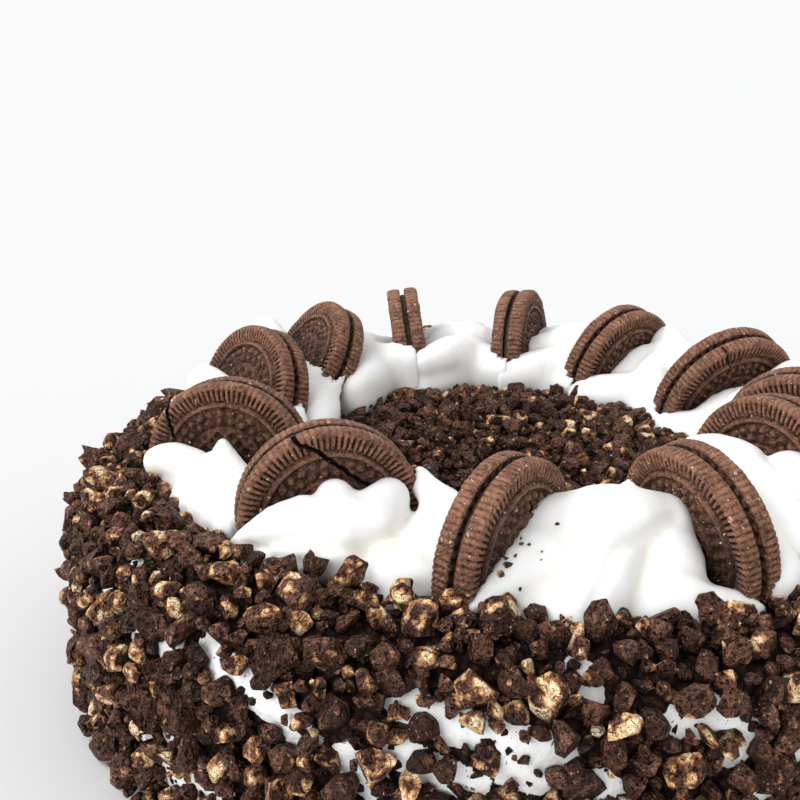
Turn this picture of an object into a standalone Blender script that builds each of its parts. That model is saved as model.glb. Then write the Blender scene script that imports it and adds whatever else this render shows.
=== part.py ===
"""Cookies and cream layer cake.

A round cake coated in whipped cream, with crushed chocolate cookies pressed into its side, its
shoulder and the outer rim of its top. A bed of the same crumbs fills the middle of the top.
Between bed and rim stands a ring of twelve sandwich cookies, set like a pinwheel, with a piped
dollop of whipped cream in each gap between two cookies.

Units are metres, +Z is up. The origin is the middle of the flat underside.
"""
import math
import random
from collections import namedtuple

import bmesh
import bpy
from mathutils import Matrix, Vector

MM = 0.001
FIT_GAP = 0.3 * MM
MERGE_LIMIT = 0.00001
GOLDEN_ANGLE = math.pi * (3.0 - math.sqrt(5.0))

# Cake under the crumbs
CORE_RADIUS = 119.0 * MM
CORE_HEIGHT = 57.0 * MM
SHOULDER_RADIUS = 11.0 * MM
FOOT_ROUNDING = 2.0 * MM
CORE_STEPS = 64
SHOULDER_POINTS = 3
SIDE_POINTS = 4
TOP_FLAT_RADIUS = 103.0 * MM

# Level of the crumbs on top, from which the cookies' heights are taken
CRUMB_LEVEL = 61.6 * MM

# Crumb coat on the side, shoulder and rim: low bumps all over, with the largest crumbs fused on
COAT_BUMP = 3.6 * MM
COAT_CRUMBS = 86
COAT_SEED = 11
COAT_SIZE = (10.0 * MM, 13.5 * MM)
COAT_LOWEST = 7.5 * MM
COAT_INNER_RADIUS = 106.5 * MM
COAT_SINK = 0.42

# Bed of crumbs in the middle of the top
BED_RADIUS = 50.5 * MM
BED_EDGE_HEIGHT = 2.2 * MM
BED_CROWN = 4.0 * MM
BED_CRUMBS = 38
BED_SEED = 23
BED_SIZE = (8.0 * MM, 11.5 * MM)
BED_CRUMB_REACH = 44.0 * MM
BED_STEPS = 28

# One sandwich cookie, measured from its middle plane
WAFER_RADIUS = 22.5 * MM
WAFER_INNER = 1.2 * MM
WAFER_OUTER = 5.2 * MM
WAFER_INNER_BEVEL = 1.2 * MM
WAFER_OUTER_BEVEL = 1.6 * MM
WAFER_STEPS = 18
FILLING_RADIUS = 20.0 * MM
FILLING_STEPS = 14

# How each cookie stands: degrees round the cake, millimetres out from the axis and up from the
# crumb level, degrees that its face turns from square-on, and degrees that it leans
Stand = namedtuple("Stand", "turn out lift yaw lean")
COOKIES = (
    Stand(turn=235.5, out=72.5, lift=7.0, yaw=-36.5, lean=1.0),
    Stand(turn=195.5, out=77.0, lift=3.0, yaw=-18.5, lean=4.0),
    Stand(turn=167.5, out=78.5, lift=6.5, yaw=-34.0, lean=23.0),
    Stand(turn=145.0, out=77.0, lift=8.0, yaw=-28.0, lean=34.0),
    Stand(turn=115.5, out=76.5, lift=6.0, yaw=-17.5, lean=-8.0),
    Stand(turn=86.5, out=76.0, lift=4.5, yaw=-10.0, lean=-6.0),
    Stand(turn=61.0, out=75.5, lift=3.0, yaw=-16.5, lean=9.5),
    Stand(turn=29.0, out=76.0, lift=6.0, yaw=-1.0, lean=19.0),
    Stand(turn=354.5, out=80.5, lift=7.0, yaw=-20.0, lean=7.0),
    Stand(turn=333.5, out=74.5, lift=7.5, yaw=-21.0, lean=-5.0),
    Stand(turn=306.5, out=76.0, lift=5.5, yaw=-4.5, lean=8.5),
    Stand(turn=270.5, out=76.5, lift=7.0, yaw=-30.5, lean=-1.0),
)

# The third cookie's front wafer has lost its right-hand edge along a straight break
BROKEN_COOKIE = 3
BREAK_OFFSET = 15.5 * MM
BREAK_ANGLE = math.radians(20.0)

# Piped dollops: rings of a five-lobed swirl, each a height, a half length and a half width
DOLLOP_HEIGHT = 23.0 * MM
DOLLOP_LENGTH = 27.0 * MM
DOLLOP_WIDTH = 21.0 * MM
DOLLOP_OUT = 77.0 * MM
DOLLOP_LOBES = 5
DOLLOP_LOBE_DEPTH = 0.12
DOLLOP_SQUARENESS = 0.78
DOLLOP_TWIST = math.radians(75.0)
DOLLOP_SEGMENTS = 20
DOLLOP_RINGS = 4
DOLLOP_SEED = 7
DOLLOP_INNER_LIMIT = BED_RADIUS + FIT_GAP
DOLLOP_OUTER_LIMIT = 101.0 * MM

Z_AXIS = Vector((0.0, 0.0, 1.0))


def clear_scene():
    for old in list(bpy.data.objects):
        bpy.data.objects.remove(old, do_unlink=True)


def new_collection(name):
    collection = bpy.data.collections.new(name)
    bpy.context.scene.collection.children.link(collection)
    return collection


def new_material(name, colour, roughness):
    material = bpy.data.materials.new(name)
    material.use_nodes = True
    shader = material.node_tree.nodes["Principled BSDF"]
    shader.inputs["Base Color"].default_value = (*colour, 1.0)
    shader.inputs["Roughness"].default_value = roughness
    shader.inputs["Metallic"].default_value = 0.0
    material.diffuse_color = (*colour, 1.0)
    return material


def new_object(name, mesh, collection, material=None):
    obj = bpy.data.objects.new(name, mesh)
    collection.objects.link(obj)
    if material:
        mesh.materials.append(material)
    return obj


def as_cutter(obj):
    obj.hide_render = True
    obj.display_type = "WIRE"
    return obj


def turned(name, profile, steps, collection, material=None):
    """A solid of revolution: the profile's (radius, height) points run from top to bottom."""
    mesh = bpy.data.meshes.new(name)
    points = [(radius, 0.0, height) for radius, height in profile]
    edges = [(i, i + 1) for i in range(len(points) - 1)]
    mesh.from_pydata(points, edges, [])
    obj = new_object(name, mesh, collection, material)
    screw = obj.modifiers.new("Turn", "SCREW")
    screw.axis = "Z"
    screw.steps = steps
    screw.render_steps = steps
    screw.use_merge_vertices = True
    screw.merge_threshold = MERGE_LIMIT
    screw.use_smooth_shade = True
    return obj


def boolean(obj, cutter, operation="DIFFERENCE"):
    modifier = obj.modifiers.new(operation.title(), "BOOLEAN")
    modifier.operation = operation
    modifier.solver = "EXACT"
    modifier.object = cutter
    return modifier


def fuse_collection(obj, pieces):
    """Join every object of a collection to obj, apply the union and remove the pieces."""
    modifier = obj.modifiers.new("Fuse", "BOOLEAN")
    modifier.operation = "UNION"
    modifier.solver = "EXACT"
    modifier.operand_type = "COLLECTION"
    modifier.collection = pieces
    modifier.use_self = True
    apply_modifiers(obj)
    for piece in list(pieces.objects):
        bpy.data.objects.remove(piece, do_unlink=True)
    bpy.data.collections.remove(pieces)


def apply_modifiers(obj):
    depsgraph = bpy.context.evaluated_depsgraph_get()
    result = bpy.data.meshes.new_from_object(obj.evaluated_get(depsgraph))
    obj.modifiers.clear()
    obj.data = result


def keep_largest_body(obj):
    """Apply the modifiers, then drop loose scraps and sealed hollows: the smaller shells."""
    apply_modifiers(obj)
    bm = bmesh.new()
    bm.from_mesh(obj.data)
    bmesh.ops.remove_doubles(bm, verts=bm.verts, dist=MERGE_LIMIT)
    bmesh.ops.dissolve_degenerate(bm, edges=bm.edges, dist=MERGE_LIMIT)
    bmesh.ops.triangulate(bm, faces=bm.faces)
    unseen = set(bm.faces)
    shells = []
    while unseen:
        shell = []
        front = [unseen.pop()]
        while front:
            face = front.pop()
            shell.append(face)
            for edge in face.edges:
                for other in edge.link_faces:
                    if other in unseen:
                        unseen.remove(other)
                        front.append(other)
        shells.append(shell)
    shells.sort(key=len)
    for shell in shells[:-1]:
        bmesh.ops.delete(bm, geom=shell, context="FACES")
    bm.to_mesh(obj.data)
    bm.free()


def cookie_matrix(stand):
    """Local X lies level in the wafers, Y points up the cookie and Z is its turning axis."""
    turn = math.radians(stand.turn)
    heading = turn + math.pi / 2 + math.radians(stand.yaw)
    lean = math.radians(stand.lean)
    normal = Vector((
        math.cos(heading) * math.cos(lean),
        math.sin(heading) * math.cos(lean),
        math.sin(lean),
    ))
    level = Z_AXIS.cross(normal).normalized()
    upward = normal.cross(level)
    rotation = Matrix((level, upward, normal)).transposed()
    centre = Vector((
        stand.out * MM * math.cos(turn),
        stand.out * MM * math.sin(turn),
        CRUMB_LEVEL + stand.lift * MM,
    ))
    return Matrix.Translation(centre) @ rotation.to_4x4()


def clear_of_cookies(point, reach):
    """Whether a ball of the given radius round point misses every cookie."""
    for stand in COOKIES:
        local = cookie_matrix(stand).inverted() @ point
        beyond_rim = math.hypot(local.x, local.y) - WAFER_RADIUS
        beyond_face = abs(local.z) - WAFER_OUTER
        outside = math.hypot(max(beyond_rim, 0.0), max(beyond_face, 0.0))
        if outside < reach + FIT_GAP:
            return False
    return True


def add_chunk(name, rng, size, centre, outward, collection):
    """One broken crumb: a jittered 20-faced ball, a little flat against what it lies on."""
    mesh = bpy.data.meshes.new(name)
    bm = bmesh.new()
    bmesh.ops.create_icosphere(bm, subdivisions=1, radius=size / 2)
    stretch = Vector((rng.uniform(0.85, 1.15), rng.uniform(0.72, 1.0), rng.uniform(0.72, 0.95)))
    for vertex in bm.verts:
        bump = rng.uniform(0.84, 1.12)
        vertex.co = Vector(a * b * bump for a, b in zip(vertex.co, stretch))
    bm.to_mesh(mesh)
    bm.free()
    spin = Matrix.Rotation(rng.uniform(0.0, math.tau), 4, "Z")
    lay = outward.to_track_quat("Z", "Y").to_matrix().to_4x4()
    obj = new_object(name, mesh, collection)
    obj.matrix_world = Matrix.Translation(centre) @ lay @ spin
    return obj


def core_profile():
    """The coated cake's outline, from the middle of the top to the middle of the underside."""
    points = [(0.0, CORE_HEIGHT), (TOP_FLAT_RADIUS, CORE_HEIGHT)]
    for step in range(SHOULDER_POINTS + 1):
        angle = math.pi / 2 * (1.0 - step / SHOULDER_POINTS)
        points.append((
            CORE_RADIUS - SHOULDER_RADIUS * (1.0 - math.cos(angle)),
            CORE_HEIGHT - SHOULDER_RADIUS * (1.0 - math.sin(angle)),
        ))
    side = CORE_HEIGHT - SHOULDER_RADIUS
    for step in range(1, SIDE_POINTS):
        points.append((CORE_RADIUS, side + (FOOT_ROUNDING - side) * step / SIDE_POINTS))
    points.append((CORE_RADIUS, FOOT_ROUNDING))
    points.append((CORE_RADIUS - FOOT_ROUNDING, 0.0))
    points.append((0.0, 0.0))
    return points


def coat_place(along):
    """Radius, height and outward slope of the coat, along from 0 low on the side to 1 on top."""
    side = CORE_HEIGHT - SHOULDER_RADIUS - COAT_LOWEST
    bend = SHOULDER_RADIUS * math.pi / 2
    flat = CORE_RADIUS - SHOULDER_RADIUS - COAT_INNER_RADIUS
    travel = along * (side + bend + flat)
    if travel < side:
        return CORE_RADIUS, COAT_LOWEST + travel, 0.0
    if travel < side + bend:
        slope = (travel - side) / SHOULDER_RADIUS
        return (
            CORE_RADIUS - SHOULDER_RADIUS * (1.0 - math.cos(slope)),
            CORE_HEIGHT - SHOULDER_RADIUS * (1.0 - math.sin(slope)),
            slope,
        )
    return CORE_RADIUS - SHOULDER_RADIUS - (travel - side - bend), CORE_HEIGHT, math.pi / 2


def make_cake_body(collection, material, slot_cutters):
    """The coated cake with its crumbs fused on and a slot under each cookie."""
    body = turned("cake_body", core_profile(), CORE_STEPS, collection, material)
    rng = random.Random(COAT_SEED)
    apply_modifiers(body)
    for vertex in body.data.vertices:
        radius = math.hypot(vertex.co.x, vertex.co.y)
        if radius > TOP_FLAT_RADIUS + MERGE_LIMIT and vertex.co.z > MERGE_LIMIT:
            vertex.co += vertex.normal * COAT_BUMP * rng.uniform(0.0, 1.0)
            vertex.co.z = max(vertex.co.z, FOOT_ROUNDING)
    crumbs = new_collection("coat_crumbs")
    for index in range(COAT_CRUMBS):
        radius, height, slope = coat_place((index + 0.5) / COAT_CRUMBS)
        turn = index * GOLDEN_ANGLE + rng.uniform(-0.02, 0.02)
        size = rng.uniform(*COAT_SIZE)
        outward = Vector((
            math.cos(turn) * math.cos(slope),
            math.sin(turn) * math.cos(slope),
            math.sin(slope),
        ))
        foot = Vector((radius * math.cos(turn), radius * math.sin(turn), height))
        centre = foot + outward * size * COAT_SINK / 2
        centre.z = max(centre.z, size * 0.62)
        if clear_of_cookies(centre, size * 0.62):
            add_chunk(f"coat_crumb_{index}", rng, size, centre, outward, crumbs)
    fuse_collection(body, crumbs)
    for cutter in slot_cutters:
        boolean(body, cutter)
    keep_largest_body(body)
    return body


def make_crumb_bed(collection, cutters, material):
    """A low heap of crumbs inside the ring of cookies."""
    base = CORE_HEIGHT + FIT_GAP
    profile = [
        (0.0, base + BED_CROWN),
        (BED_RADIUS * 0.55, base + BED_CROWN),
        (BED_RADIUS - 1.5 * MM, base + BED_EDGE_HEIGHT),
        (BED_RADIUS, base),
        (0.0, base),
    ]
    bed = turned("crumb_bed", profile, BED_STEPS, collection, material)
    crumbs = new_collection("bed_crumbs")
    rng = random.Random(BED_SEED)
    for index in range(BED_CRUMBS):
        radius = BED_CRUMB_REACH * math.sqrt((index + 0.5) / BED_CRUMBS)
        turn = index * GOLDEN_ANGLE
        size = rng.uniform(*BED_SIZE)
        rise = BED_CROWN if radius < BED_RADIUS * 0.6 else BED_CROWN * 0.75
        centre = Vector((radius * math.cos(turn), radius * math.sin(turn), base + rise))
        add_chunk(f"bed_crumb_{index}", rng, size, centre, Z_AXIS, crumbs)
    fuse_collection(bed, crumbs)
    under = [(0.0, base), (CORE_RADIUS, base), (CORE_RADIUS, 0.0), (0.0, 0.0)]
    boolean(bed, as_cutter(turned("bed_floor", under, BED_STEPS, cutters)))
    keep_largest_body(bed)
    return bed


def wafer_profile(side):
    """Half section of a wafer on side +1 or -1 of the middle plane, top to bottom."""
    rows = [
        (0.0, WAFER_OUTER),
        (WAFER_RADIUS - WAFER_OUTER_BEVEL, WAFER_OUTER),
        (WAFER_RADIUS, WAFER_OUTER - WAFER_OUTER_BEVEL),
        (WAFER_RADIUS, WAFER_INNER + WAFER_INNER_BEVEL),
        (WAFER_RADIUS - WAFER_INNER_BEVEL, WAFER_INNER),
        (0.0, WAFER_INNER),
    ]
    if side > 0:
        return rows
    return [(radius, -height) for radius, height in reversed(rows)]


def make_break_cutter(placing, cutters):
    """A block that takes the edge off the broken cookie's front wafer."""
    mesh = bpy.data.meshes.new("wafer_break")
    bm = bmesh.new()
    bmesh.ops.create_cube(bm, size=1.0)
    bm.to_mesh(mesh)
    bm.free()
    block = as_cutter(new_object("wafer_break", mesh, cutters))
    width = WAFER_RADIUS
    away = Matrix.Translation((BREAK_OFFSET + width / 2, 0.0, WAFER_OUTER / 2 + WAFER_INNER))
    scale = Matrix.Diagonal((width, 3.0 * WAFER_RADIUS, WAFER_OUTER + WAFER_INNER, 1.0))
    block.matrix_world = placing @ Matrix.Rotation(BREAK_ANGLE, 4, "Z") @ away @ scale
    return block


def make_cookie(number, stand, collection, cutters, wafer_material, filling_material):
    """Two wafers with the filling between them, each a separate solid."""
    placing = cookie_matrix(stand)
    half = WAFER_INNER - FIT_GAP
    filling_profile = [(0.0, half), (FILLING_RADIUS, half), (FILLING_RADIUS, -half), (0.0, -half)]
    label = f"cookie_{number:02d}"
    front = turned(f"{label}_wafer_a", wafer_profile(1), WAFER_STEPS, collection, wafer_material)
    back = turned(f"{label}_wafer_b", wafer_profile(-1), WAFER_STEPS, collection, wafer_material)
    filling = turned(f"{label}_filling", filling_profile, FILLING_STEPS, collection,
                     filling_material)
    for piece in (front, back, filling):
        piece.matrix_world = placing
    if number == BROKEN_COOKIE:
        boolean(front, make_break_cutter(placing, cutters))


def make_slot_cutter(number, stand, cutters):
    """The room that a cookie takes out of the cake and of the cream beside it."""
    radius = WAFER_RADIUS + FIT_GAP
    half = WAFER_OUTER + FIT_GAP
    profile = [(0.0, half), (radius, half), (radius, -half), (0.0, -half)]
    cutter = as_cutter(turned(f"slot_{number:02d}", profile, WAFER_STEPS, cutters))
    cutter.matrix_world = cookie_matrix(stand)
    return cutter


def make_ring_limit(cutters):
    """A ring from bed to rim that the dollops are trimmed to, resting just over the cake."""
    floor = CORE_HEIGHT + FIT_GAP
    roof = CORE_HEIGHT + 2.0 * DOLLOP_HEIGHT
    profile = [
        (DOLLOP_INNER_LIMIT, roof),
        (DOLLOP_OUTER_LIMIT, roof),
        (DOLLOP_OUTER_LIMIT, floor),
        (DOLLOP_INNER_LIMIT, floor),
        (DOLLOP_INNER_LIMIT, roof),
    ]
    return as_cutter(turned("dollop_ring", profile, CORE_STEPS, cutters))


def squared(value):
    """Push a cosine or sine out towards 1, so that a ring fills its corners."""
    return math.copysign(abs(value) ** DOLLOP_SQUARENESS, value)


def dollop_mesh(name, rng, height, length, width):
    """A closed swirl of lobed rings that swells above its foot and draws in to a soft peak."""
    bm = bmesh.new()
    rings = []
    lean = Vector((rng.uniform(-0.12, 0.12) * length, rng.uniform(-0.12, 0.12) * width, 0.0))
    start = rng.uniform(0.0, math.tau)
    for level in range(DOLLOP_RINGS):
        share = level / DOLLOP_RINGS
        swell = math.cos(share * math.pi / 2) ** 0.62 * (1.0 + 0.10 * math.sin(share * math.pi))
        ring = []
        for segment in range(DOLLOP_SEGMENTS):
            angle = math.tau * segment / DOLLOP_SEGMENTS
            lobe = math.cos(DOLLOP_LOBES * (angle - start) - DOLLOP_TWIST * share * 3.0)
            reach = swell * (1.0 + DOLLOP_LOBE_DEPTH * lobe)
            ring.append(bm.verts.new((
                length * reach * squared(math.cos(angle)) + lean.x * share,
                width * reach * squared(math.sin(angle)) + lean.y * share,
                height * share,
            )))
        rings.append(ring)
    peak = bm.verts.new((lean.x, lean.y, height))
    bm.faces.new(list(reversed(rings[0])))
    for lower, upper in zip(rings, rings[1:]):
        for segment in range(DOLLOP_SEGMENTS):
            following = (segment + 1) % DOLLOP_SEGMENTS
            bm.faces.new((lower[segment], lower[following], upper[following], upper[segment]))
    for segment in range(DOLLOP_SEGMENTS):
        following = (segment + 1) % DOLLOP_SEGMENTS
        bm.faces.new((rings[-1][segment], rings[-1][following], peak))
    mesh = bpy.data.meshes.new(name)
    bm.to_mesh(mesh)
    bm.free()
    return mesh


def trim_to_gap(mesh, placing, first, second):
    """Cut a dollop back to the middle planes of the two cookies that it lies between."""
    bm = bmesh.new()
    bm.from_mesh(mesh)
    bmesh.ops.transform(bm, matrix=placing, verts=bm.verts)
    for stand, side in ((first, 1.0), (second, -1.0)):
        plane = cookie_matrix(stand)
        normal = plane.to_3x3() @ Z_AXIS * side
        point = plane.translation + normal * FIT_GAP
        cut = bmesh.ops.bisect_plane(
            bm,
            geom=bm.verts[:] + bm.edges[:] + bm.faces[:],
            plane_co=point,
            plane_no=normal,
            clear_inner=True,
            dist=MERGE_LIMIT,
        )
        rim = [item for item in cut["geom_cut"] if isinstance(item, bmesh.types.BMEdge)]
        if rim:
            bmesh.ops.holes_fill(bm, edges=rim)
    bmesh.ops.triangulate(bm, faces=bm.faces)
    bm.to_mesh(mesh)
    bm.free()


def make_dollop(number, collection, material, slots, ring_limit):
    """The cream between cookie number and the next cookie clockwise."""
    rng = random.Random(DOLLOP_SEED + number)
    second = COOKIES[number - 1]
    first = COOKIES[number % len(COOKIES)]
    sweep = (second.turn - first.turn) % 360.0
    turn = math.radians(first.turn + sweep / 2)
    heading = turn + math.radians((first.yaw + second.yaw) / 2)
    height = DOLLOP_HEIGHT * rng.uniform(0.92, 1.0)
    length = DOLLOP_LENGTH * rng.uniform(0.97, 1.05)
    width = DOLLOP_WIDTH * (0.6 + 0.4 * sweep / 30.0)
    name = f"cream_{number:02d}"
    mesh = dollop_mesh(name, rng, height, length, width)
    centre = Vector((DOLLOP_OUT * math.cos(turn), DOLLOP_OUT * math.sin(turn), CORE_HEIGHT))
    placing = Matrix.Translation(centre) @ Matrix.Rotation(heading, 4, "Z")
    trim_to_gap(mesh, placing, first, second)
    dollop = new_object(name, mesh, collection, material)
    boolean(dollop, slots[number - 1])
    boolean(dollop, slots[number % len(COOKIES)])
    boolean(dollop, ring_limit, "INTERSECT")
    keep_largest_body(dollop)
    dollop.data.shade_smooth()
    return dollop


def main():
    clear_scene()
    cake = new_collection("cookies_and_cream_cake")
    cutters = new_collection("cutters")
    crumb = new_material("chocolate_crumb", (0.045, 0.026, 0.018), 0.85)
    wafer = new_material("chocolate_wafer", (0.060, 0.032, 0.022), 0.70)
    filling = new_material("cookie_filling", (0.80, 0.76, 0.68), 0.60)
    cream = new_material("whipped_cream", (0.93, 0.93, 0.92), 0.50)
    slots = [make_slot_cutter(i, stand, cutters) for i, stand in enumerate(COOKIES, start=1)]
    ring_limit = make_ring_limit(cutters)
    make_cake_body(cake, crumb, slots)
    make_crumb_bed(cake, cutters, crumb)
    for number, stand in enumerate(COOKIES, start=1):
        make_cookie(number, stand, cake, cutters, wafer, filling)
    for number in range(1, len(COOKIES) + 1):
        make_dollop(number, cake, cream, slots, ring_limit)
    bpy.context.view_layer.update()


main()
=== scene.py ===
import itertools
import math

import bmesh
import bpy
import numpy as np
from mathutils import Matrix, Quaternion, Vector


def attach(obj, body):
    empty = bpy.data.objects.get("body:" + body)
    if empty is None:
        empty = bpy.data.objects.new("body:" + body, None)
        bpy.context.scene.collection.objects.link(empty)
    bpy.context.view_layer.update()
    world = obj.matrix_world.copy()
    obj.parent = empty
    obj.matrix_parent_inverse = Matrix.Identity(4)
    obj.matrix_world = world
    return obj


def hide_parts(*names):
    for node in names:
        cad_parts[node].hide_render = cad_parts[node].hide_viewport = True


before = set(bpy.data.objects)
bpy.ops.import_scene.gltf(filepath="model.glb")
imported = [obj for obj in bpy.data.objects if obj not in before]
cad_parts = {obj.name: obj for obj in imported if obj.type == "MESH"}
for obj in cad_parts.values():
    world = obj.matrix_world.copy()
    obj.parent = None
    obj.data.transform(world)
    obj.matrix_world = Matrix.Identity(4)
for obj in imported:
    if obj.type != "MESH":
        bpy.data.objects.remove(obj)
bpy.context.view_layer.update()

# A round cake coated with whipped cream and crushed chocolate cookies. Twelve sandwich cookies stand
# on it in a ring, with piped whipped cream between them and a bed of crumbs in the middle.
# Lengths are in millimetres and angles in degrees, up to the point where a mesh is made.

MM = 0.001
UP = np.array([0.0, 0.0, 1.0])

# A travel on the coat, or a distance from its gaps, that is past all of them
FAR = 99.0

# The cake, as the frame has it
CAKE_RADIUS = 119.0
CAKE_TOP = 57.0
SHOULDER = 11.0
CRUMB_LEVEL = 61.6
BED_RADIUS = 51.0
COOKIES = 12
COOKIE_RADIUS = 22.5
WAFER_INNER = 1.2

# Level of the dollops' feet and of the foot of the bed's core
FOOT_LEVEL = CAKE_TOP + 0.3

# Limits that the crumbs stay inside
OUTER_REACH = 125.6
LOWEST_CRUMB = 0.4

# Camera of the photo; its place and near limit are in metres
CAMERA_PLACE = (0.0, -0.30707, 0.18775)
CAMERA_PITCH = 19.98
CAMERA_TURN = -5.55
CAMERA_LENS = 52.07
CAMERA_SENSOR = 36.0
CAMERA_NEAR = 0.01


# Small tools

def unit(vector):
    """The vector at length one."""
    return np.asarray(vector, float) / np.linalg.norm(vector)


def mix(low, high, share):
    """The value that lies this share of the way from low to high."""
    return low + (high - low) * share


def smooth_step(low, high, value):
    """A soft ramp from 0 at low to 1 at high."""
    share = np.clip((value - low) / (high - low), 0.0, 1.0)
    return share * share * (3.0 - 2.0 * share)


def soft_noise(points, cell, seed):
    """Smooth noise from -1 to 1 with bumps about one cell wide."""
    scaled = np.asarray(points, float) / cell
    base = np.floor(scaled)
    part = scaled - base
    part = part * part * (3.0 - 2.0 * part)
    total = np.zeros(len(scaled))
    for corner in itertools.product((0, 1), repeat=3):
        weight = np.prod(np.where(corner, part, 1.0 - part), axis=1)
        spot = base + corner
        mixed = np.sin(spot[:, 0] * 127.1 + spot[:, 1] * 311.7 + spot[:, 2] * 74.7 + seed * 53.3)
        total += weight * (2.0 * ((mixed * 43758.5453) % 1.0) - 1.0)
    return total


def random_turn(rng):
    """A random rotation matrix."""
    return np.array(Quaternion(rng.normal(size=4)).normalized().to_matrix())


def ring_angles(count):
    """Angles of evenly spread points round a ring, in radians."""
    return np.arange(count) * math.tau / count


def to_segment(points, start, end):
    """Where along a segment each point is nearest to it, from 0 to 1, and how far it is away."""
    along = end - start
    share = np.clip((points - start) @ along / (along @ along), 0.0, 1.0)
    return share, np.linalg.norm(points - start - share[:, None] * along, axis=1)


def line_distance(points, line):
    """How far points are from a line of several segments."""
    line = np.array(line, float)
    return np.min([to_segment(points, a, b)[1] for a, b in zip(line[:-1], line[1:])], axis=0)


def radius_of(points):
    """How far points are from the upright axis through the middle."""
    return np.hypot(points[:, 0], points[:, 1])


def mesh_points(mesh):
    """All points of a mesh in its own units."""
    return np.array([vertex.co for vertex in mesh.vertices])


def put(name, data):
    """A new object in the scene."""
    made = bpy.data.objects.new(name, data)
    bpy.context.collection.objects.link(made)
    return made


def make_mesh(name, points, faces, values=None):
    """A smooth mesh from points in millimetres, with named float values for its points."""
    mesh = bpy.data.meshes.new(name)
    mesh.from_pydata((np.asarray(points) * MM).tolist(), [], [list(map(int, face)) for face in faces])
    for key, data in (values or {}).items():
        layer = mesh.attributes.new(key, "FLOAT", "POINT")
        layer.data.foreach_set("value", np.asarray(data, np.float32))
    mesh.shade_smooth()
    mesh.update()
    return mesh


def add_piece(mesh, material, nodes=()):
    """Put a mesh in the scene as a piece that rides on the cake and stands for CAD nodes."""
    piece = put(mesh.name, mesh)
    mesh.materials.clear()
    mesh.materials.append(material)
    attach(piece, "root")
    if nodes:
        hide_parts(*nodes)


def modified(mesh, kind, **settings):
    """A mesh with one modifier applied; the mesh given is used up."""
    holder = put("holder", mesh)
    step = holder.modifiers.new("step", kind)
    for key, value in settings.items():
        setattr(step, key, value)
    graph = bpy.context.evaluated_depsgraph_get()
    result = bpy.data.meshes.new_from_object(holder.evaluated_get(graph), depsgraph=graph)
    bpy.data.objects.remove(holder)
    return result


# Materials

class Shader:
    """A material's node tree, with short ways to add nodes to it."""

    def __init__(self, name):
        self.material = bpy.data.materials.new(name)
        self.material.use_nodes = True
        self.tree = self.material.node_tree
        self.surface = self.tree.nodes["Principled BSDF"]
        self.place = self.add("TexCoord", "Object", {})

    def add(self, kind, output, inputs, **settings):
        """An output of a new node with these settings and inputs."""
        node = self.tree.nodes.new("ShaderNode" + kind)
        for key, value in settings.items():
            setattr(node, key, value)
        self.feed(node, inputs)
        return node.outputs[output]

    def feed(self, node, inputs):
        """Link outputs, or set values or colours, at a node's inputs."""
        for key, value in inputs.items():
            if isinstance(value, bpy.types.NodeSocket):
                self.tree.links.new(value, node.inputs[key])
            else:
                colour = node.inputs[key].type == "RGBA"
                node.inputs[key].default_value = (*value, 1.0) if colour else value

    def noise(self, size, detail=3.0, rough=0.55):
        """Noise with features of about this size in millimetres."""
        values = {"Scale": 1.0 / (size * MM), "Detail": detail, "Roughness": rough}
        return self.add("TexNoise", "Fac", {"Vector": self.place, **values})

    def cells(self, size):
        """Distance to the nearest of points scattered about this far apart in millimetres."""
        return self.add("TexVoronoi", "Distance", {"Vector": self.place, "Scale": 1.0 / (size * MM)})

    def attribute(self, name):
        """A float that the mesh carries."""
        return self.add("Attribute", "Fac", {}, attribute_name=name)

    def ramp(self, value, low, high, start=0.0, end=1.0):
        """Map low..high to start..end, held at both ends."""
        limits = {"From Min": low, "From Max": high, "To Min": start, "To Max": end}
        return self.add("MapRange", "Result", {"Value": value, **limits})

    def times(self, first, second):
        """Two values multiplied."""
        return self.add("Math", 0, {0: first, 1: second}, operation="MULTIPLY")

    def plus(self, first, second):
        """Two values added."""
        return self.add("Math", 0, {0: first, 1: second}, operation="ADD")

    def blend(self, share, low, high):
        """A colour between low and high, at the sockets that a mix node has for colours."""
        return self.add("Mix", 2, {0: share, 6: low, 7: high}, data_type="RGBA")

    def bands(self, value, stops):
        """A colour that runs through evenly spread stops as the value goes from 0 to 1."""
        colour = self.add("ValToRGB", "Color", {"Fac": value})
        elements = colour.node.color_ramp.elements
        while len(elements) < len(stops):
            elements.new(0.5)
        for k, stop in enumerate(stops):
            elements[k].position = k / (len(stops) - 1)
            elements[k].color = (*stop, 1.0)
        return colour

    def bump(self, height, depth, strength=1.0, **under):
        """A normal bumped by a height whose range is depth millimetres deep."""
        values = {"Strength": strength, "Distance": depth * MM, "Height": height}
        return self.add("Bump", "Normal", {**values, **under})

    def finish(self, colour, roughness, normal, **numbers):
        """Feed the surface and hand over the material."""
        self.feed(self.surface, {"Base Color": colour, "Roughness": roughness, "Normal": normal})
        self.feed(self.surface, {key.replace("_", " "): value for key, value in numbers.items()})
        return self.material


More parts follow.
